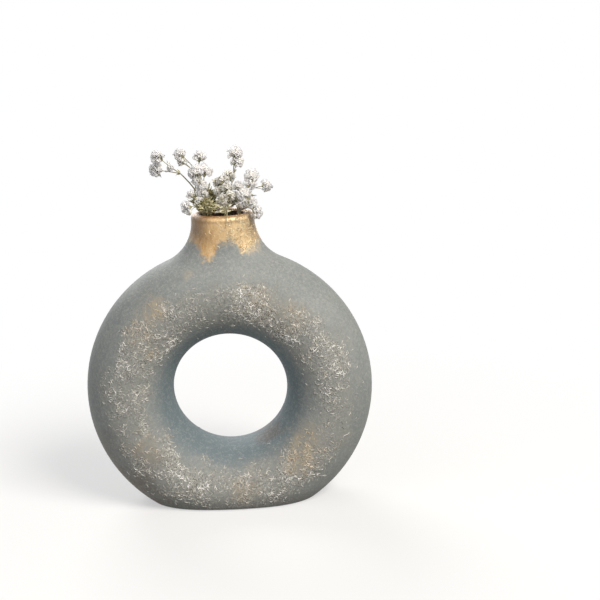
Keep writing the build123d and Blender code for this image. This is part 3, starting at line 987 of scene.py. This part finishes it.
# %% A tree for clusters of parts
GOLDEN_ANGLE = math.pi * (3 - math.sqrt(5))
cluster_tree, given = new_tree("clusters_of_parts", {
    "Points": "Geometry", "Part": "Object", "Count": "Int", "First Tilt": "Float", "Last Tilt": "Float",
    "Smallest": "Float", "Jitter": "Float", "Seed": "Int", "Material": "Material"})
tree = cluster_tree
index = add(tree, "GeometryNodeInputIndex")
half_on = add(tree, "ShaderNodeMath", [index, 0.5], operation="ADD")
share = add(tree, "ShaderNodeMath", [half_on, given["Count"]], operation="DIVIDE")
first, last = [
    add(tree, "ShaderNodeMath", [given[end]], operation="COSINE") for end in ("First Tilt", "Last Tilt")]
level = add(tree, "ShaderNodeMapRange", {"Value": share, "To Min": first, "To Max": last})
tilt = add(tree, "ShaderNodeMath", [level], operation="ARCCOSINE")
reach = add(tree, "ShaderNodeMath", [tilt], operation="SINE")
x, y = [
    product(tree, reach, add(tree, "ShaderNodeMath", [product(tree, index, GOLDEN_ANGLE)], operation=wave))
    for wave in ("COSINE", "SINE")]
direction = add(tree, "ShaderNodeCombineXYZ", [x, y, level])
shake = add(tree, "FunctionNodeRandomValue", {
    "Min": (-1, -1, -1), "Max": (1, 1, 1), "Seed": given["Seed"]}, data_type="FLOAT_VECTOR")
shaken = add(tree, "ShaderNodeVectorMath", {0: shake, "Scale": given["Jitter"]}, operation="SCALE")
direction = add(tree, "ShaderNodeVectorMath", [direction, shaken], operation="ADD")
outward = add(tree, "FunctionNodeAlignRotationToVector", {"Vector": direction}, axis="Z")
turned, chance = spun(tree, outward, given["Seed"])
part = add(tree, "GeometryNodeObjectInfo", {"Object": given["Part"]}).outputs["Geometry"]
cluster = add(tree, "GeometryNodeInstanceOnPoints", {
    "Points": add(tree, "GeometryNodePoints", {"Count": given["Count"]}), "Instance": part, "Rotation": turned,
    "Scale": add(tree, "ShaderNodeMapRange", {"Value": chance, "To Min": given["Smallest"], "To Max": 1.0})})
axis = add(tree, "GeometryNodeInputNamedAttribute", {"Name": "axis"}, data_type="FLOAT_VECTOR")
size = add(tree, "GeometryNodeInputNamedAttribute", {"Name": "size"}, data_type="FLOAT")
head_up = add(tree, "FunctionNodeAlignRotationToVector", {"Vector": axis}, axis="Z")
second_seed = add(tree, "ShaderNodeMath", [given["Seed"], 7.0], operation="ADD")
head_turned = spun(tree, head_up, second_seed)[0]
end_tree(tree, add(tree, "GeometryNodeInstanceOnPoints", {
    "Points": given["Points"], "Instance": cluster, "Rotation": head_turned, "Scale": size}), given["Material"])


def clusters(name, spots, part, material, seed, count=1, tilts=(0.0, 0.0), smallest=1.0, jitter=0.0):
    """One piece: a cluster of a part on every spot, which is a place, a direction and a size."""
    mesh = bpy.data.meshes.new(name + "_points")
    mesh.from_pydata([place for place, axis, size in spots], [], [])
    mesh.attributes.new("axis", "FLOAT_VECTOR", "POINT")
    mesh.attributes.new("size", "FLOAT", "POINT")
    mesh.attributes["axis"].data.foreach_set("vector", [v for place, axis, size in spots for v in axis])
    mesh.attributes["size"].data.foreach_set("value", [size for place, axis, size in spots])
    return run_tree(cluster_tree, bpy.data.objects.new(name + "_points", mesh), {
        "Part": part, "Count": count, "First Tilt": tilts[0], "Last Tilt": tilts[1], "Smallest": smallest,
        "Jitter": jitter, "Seed": seed, "Material": material}, name)


# %% [markdown]
# ### Leaves
#
# Narrow dried leaves curl about each stem where it leaves the mouth, so that the opening is nearly hidden,
# and every fork has a few tiny ones. A leaf at the mouth that would touch the vase, or another sprig while
# either is lifted out, is drawn again. The leaves on the left are dark olive and those at the right have
# bleached to cream.

# %% Leaves of one sprig
LIFT = 70 * MM
STEM_ROOM = 1.4 * MM  # for a stem's radius and crookedness
RIM_ROOM = 1 * MM
LEAVES_AT_MOUTH = 110
LEAFY_RISE = 7 * MM
DRAWS = 60


def lift_line(name):
    """The foot of a sprig's stem, and the direction in which the sprig is lifted out."""
    foot, leaving = stem_points(name)[:2]
    return foot, (leaving - foot).normalized()


def nearest_on_way(start, direction, point):
    """How near something that is lifted from a start along a direction comes to a point."""
    away = point - start
    risen = min(max(away.dot(direction), 0.0), LIFT)
    return (away - direction * risen).length


def leaf_is_free(name, spot, lean, length):
    """Whether a leaf keeps off the vase, and off the other sprigs while it or one of them is lifted out."""
    own_way = lift_line(name)[1]
    for share in (0.3, 0.5, 0.75, 1.0):
        point = spot + lean * length * share
        curled_aside = LEAF_CURL * length * share**2
        if point.z < MOUTH_HEIGHT + RIM_ROOM and point.xy.length > BORE_RADIUS - RIM_ROOM:
            return False
        for other in sprigs:
            if other == name:
                continue
            foot, upwards = lift_line(other)
            from_foot = point - foot
            if (from_foot - upwards * from_foot.dot(upwards)).length < curled_aside + STEM_ROOM:
                return False
            for head, radius in flowers(other):
                near = min(nearest_on_way(point, own_way, head), nearest_on_way(head, upwards, point))
                if near < radius + curled_aside:
                    return False
    return True


def sprig_leaves(name, dice):
    """Place, direction and length of a sprig's leaves."""
    foot, leaving, arch, fork = stem_points(name)
    up = Vector((0, 0, 1))
    leaves = []
    outward = Vector((leaving.x, leaving.y, 0)).normalized()
    sideways = Vector((-outward.y, outward.x, 0))
    leafy_share = min(1.0, LEAFY_RISE / (fork.z - leaving.z))
    for number in range(LEAVES_AT_MOUTH):
        spot = leaving.lerp(fork, number / LEAVES_AT_MOUTH * leafy_share)
        spot -= Vector((0, 0, dice.uniform(0, 5 if number % 4 == 0 else 3) * MM))
        for attempt in range(DRAWS):
            if number % 2:
                spot.z = max(spot.z, MOUTH_HEIGHT + RIM_ROOM)
                lean = sideways * dice.choice((-1, 1)) + up * dice.uniform(0.15, 0.6)
                lean = (lean + outward * dice.uniform(-0.7, 0.3)).normalized()
            else:
                lean = up * dice.uniform(0.2, 1.3) + outward * dice.uniform(-1.5, 0.6)
                lean = (lean + aside(up, dice, dice.uniform(0.2, 1.0))).normalized()
            length = dice.uniform(4.0, 8.0) * MM
            if leaf_is_free(name, spot, lean, length):
                leaves.append((spot, lean, length))
                break
    print(name, "leaves at the mouth", len(leaves))
    for centre, radius in flowers(name):
        toward = (centre - fork).normalized()
        leaves.append((fork, (toward + aside(toward, dice, 0.6)).normalized(), dice.uniform(2.2, 3.2) * MM))
        if name == "sprig_centre":
            lean = (Vector((0, -0.6, 0.4)) + aside(toward, dice, 0.8)).normalized()
            leaves.append((centre, lean, dice.uniform(3.5, 5.0) * MM))
    return leaves


# %% [markdown]
# ## Dress every sprig
#
# Now each sprig gets its stems, petals, sepals, cups, leaves and buds as separate pieces that ride on the
# sprig's own body, and together they stand for its CAD node. A short twig of the centre sprig droops over
# the front of the rim.

# %% Make the sprigs
DROOP = [(2.2, -9.7, 163.5), (2.8, -12.5, 167.6), (3.4, -16.2, 168.2), (3.0, -18.6, 163.0), (1.6, -18.6, 157.5)]
sprig_totals = {}
for number, name in enumerate(sprigs):
    dice = random.Random(40 + number)
    curves, heads, buds = sprig_curves(name, dice)
    flower_paper = petal_paper
    if name == "sprig_centre":
        curve_through(curves, [Vector(point) * MM for point in DROOP], [0.26, 0.24, 0.22, 0.2, 0.16])
        flower_paper = centre_petals
    leaves = sprig_leaves(name, dice)
    leaf_paint = leaf_olive if stem_points(name)[1].x < -5 * MM else leaf_cream
    made = [
        run_tree(stem_tree, bpy.data.objects.new(name + "_curves", curves), {
            "Step": 1.2 * MM, "Crookedness": 0.5 * MM, "Kink Length": 9 * MM, "Material": stem_straw},
            name + "_stems"),
        clusters(name + "_petals", heads, petal, flower_paper, 3 + number,
                 count=58, tilts=(0.05, 1.95), smallest=0.52, jitter=0.20),
        clusters(name + "_sepals", heads, sepal, cup_green, 5 + number,
                 count=5, tilts=(2.0, 2.15), smallest=0.5, jitter=0.05),
        clusters(name + "_cups", heads, cup, cup_green, 1),
        clusters(name + "_leaves", leaves, leaf, leaf_paint, 9 + number),
    ]
    if buds:
        made.append(clusters(name + "_buds", buds, bud, flower_paper, 2))
    for piece in made:
        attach(piece, name + "_body")
    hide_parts(name)
    sprig_totals[name] = sum(len(piece.data.polygons) for piece in made)
print("faces by sprig", sprig_totals)

# %% [markdown]
# ## The end
#
# The pattern parts are thrown away and the view layer is brought up to date.

# %% The end
for pattern in patterns:
    bpy.data.objects.remove(pattern)
bpy.context.view_layer.update()
